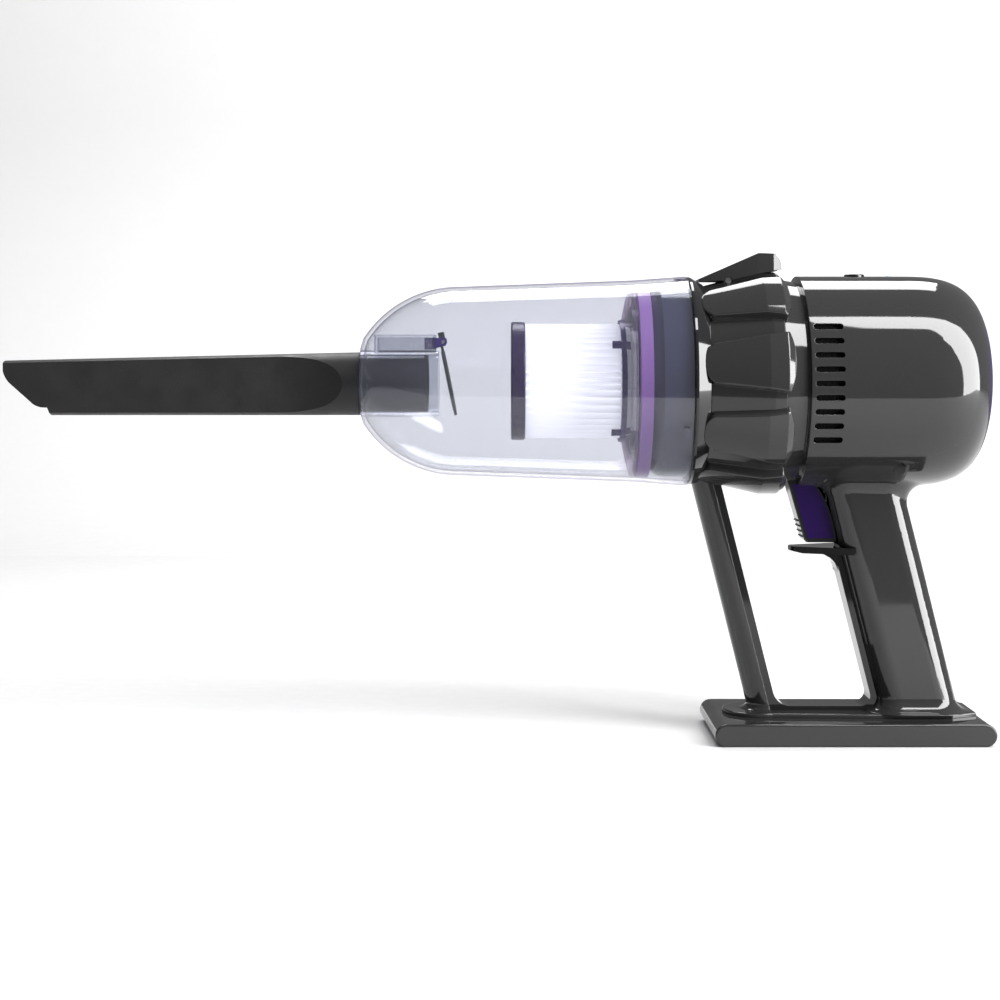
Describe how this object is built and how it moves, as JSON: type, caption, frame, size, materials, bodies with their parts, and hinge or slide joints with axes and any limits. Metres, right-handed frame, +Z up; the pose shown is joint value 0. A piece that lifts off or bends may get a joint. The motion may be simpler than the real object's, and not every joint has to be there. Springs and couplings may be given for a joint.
{
  "type": "cordless stick vacuum",
  "caption": "Handheld cordless vacuum with a clear dust bin, pleated filter, motor, trigger grip, loop handle on a flat base and a crevice tool.",
  "frame": {"origin": "centre of the flat underside of the base, on the surface it stands on", "axes": "+Z up, +X to the rear along the motor and bin axis (the nozzle points to -X), +Y to the side away from the screw plug"},
  "size_m": [0.4876, 0.1136, 0.2394],
  "materials": {
    "graphite_gloss": "glossy graphite moulding with a metallic fleck",
    "dark_gloss": "polished near-black moulding",
    "tool_matte": "fine matte grain",
    "clear_violet": "clear polycarbonate with a faint violet tint",
    "smoke_clear": "smoky blue-grey moulding",
    "purple_gloss": "deep purple gloss",
    "purple_matte": "purple satin",
    "seal_purple": "soft purple sealing rubber",
    "flange_clear": "clear pink-tinted plastic",
    "filter_paper": "white pleated filter paper",
    "dark_plastic": "plain dark moulding",
    "navy_plastic": "blue-black moulding",
    "black_rubber": "black rubber",
    "foam": "open black foam",
    "steel": "plain steel",
    "spring_steel": "drawn spring wire",
    "magnet": "ferrite",
    "copper_rotor": "laminations with copper windings",
    "cell_sleeve": "shrink sleeve on a steel cell",
    "nickel": "nickel strip",
    "board_green": "glass-fibre board",
    "wire_red": "insulated wire",
    "lens_clear": "frosted lamp"
  },
  "bodies": {
    "root": {"base_left": "graphite_gloss", "base_right": "graphite_gloss", "base_plate": "dark_plastic", "base_screws": "steel", "foot_screws": "steel", "foot_flange": "graphite_gloss", "front_strut": "graphite_gloss", "inner_trim": "dark_gloss", "finger_guard": "dark_gloss", "housing_left": "graphite_gloss", "housing_right": "graphite_gloss", "housing_screws": "steel", "screw_plug": "graphite_gloss", "charge_socket": "black_rubber", "rear_cap": "purple_gloss", "collar_ring": "dark_gloss", "lobed_shroud": "graphite_gloss", "release_spring": "spring_steel", "pivot_pins": "steel", "filter_carrier": "smoke_clear", "bin_seal": "seal_purple", "motor_foam": "foam", "fan_shroud": "dark_plastic", "bulkhead_seal": "black_rubber", "motor_can": "steel", "motor_end_cap": "dark_plastic", "motor_bearings": "steel", "motor_magnets": "magnet", "motor_mount": "black_rubber", "motor_support": "dark_plastic", "exhaust_foam": "foam", "control_board": "board_green", "tact_switch": "dark_plastic", "mode_spring": "spring_steel", "status_led": "lens_clear", "trigger_switch": "dark_plastic", "trigger_spring": "spring_steel", "battery_cells": "cell_sleeve", "cell_holders": "dark_plastic", "cell_links": "nickel", "battery_leads": "wire_red", "motor_leads": "wire_red"},
    "trigger": {"trigger": "dark_gloss", "trigger_inlays": "purple_gloss"},
    "mode_button": {"mode_button": "dark_gloss"},
    "release_lever": {"release_lever": "graphite_gloss"},
    "fan": {"motor_shaft": "steel", "rotor": "copper_rotor", "impeller": "dark_plastic"},
    "filter": {"filter_cap": "purple_matte", "filter_pleats": "filter_paper", "filter_core": "dark_plastic", "filter_collar": "navy_plastic", "filter_flange": "flange_clear"},
    "bin": {"dust_bin": "clear_violet", "inlet_duct": "clear_violet", "flap_hinge": "navy_plastic", "flap_pin": "steel"},
    "flap": {"inlet_flap": "black_rubber"},
    "crevice_tool": {"crevice_tool": "tool_matte"}
  },
  "joints": [
    {"name": "bin_turn", "type": "hinge", "parent": "root", "child": "bin", "pos_m": [0, 0, 0.176], "axis": [-1, 0, 0], "range_deg": [0, 13]},
    {"name": "tool_slide", "type": "slide", "parent": "bin", "child": "crevice_tool", "axis": [-1, 0, 0], "range_m": [0, 0.036]},
    {"name": "flap_swing", "type": "hinge", "parent": "bin", "child": "flap", "pos_m": [-0.1998, 0, 0.1955], "axis": [0, -1, 0], "range_deg": [-11, 45], "stiffness_Nm_per_rad": 0.004},
    {"name": "filter_turn", "type": "hinge", "parent": "root", "child": "filter", "pos_m": [0, 0, 0.176], "axis": [1, 0, 0], "range_deg": [0, 15]},
    {"name": "fan_spin", "type": "hinge", "parent": "root", "child": "fan", "pos_m": [0, 0, 0.176], "axis": [1, 0, 0], "continuous": true},
    {"name": "trigger_pull", "type": "hinge", "parent": "root", "child": "trigger", "pos_m": [-0.0225, 0, 0.1295], "axis": [0, -1, 0], "range_deg": [0, 6], "stiffness_Nm_per_rad": 0.8, "springref_deg": -3.44, "deforming": ["trigger_spring"]},
    {"name": "mode_press", "type": "slide", "parent": "root", "child": "mode_button", "axis": [0, 0, -1], "range_m": [0, 0.0008], "stiffness_N_per_m": 900, "springref_m": -0.0005, "deforming": ["mode_spring"]},
    {"name": "lever_press", "type": "hinge", "parent": "root", "child": "release_lever", "pos_m": [-0.058, 0, 0.226], "axis": [0, 1, 0], "range_deg": [0, 6], "stiffness_Nm_per_rad": 0.6, "springref_deg": -4.58, "deforming": ["release_spring"]}
  ]
}
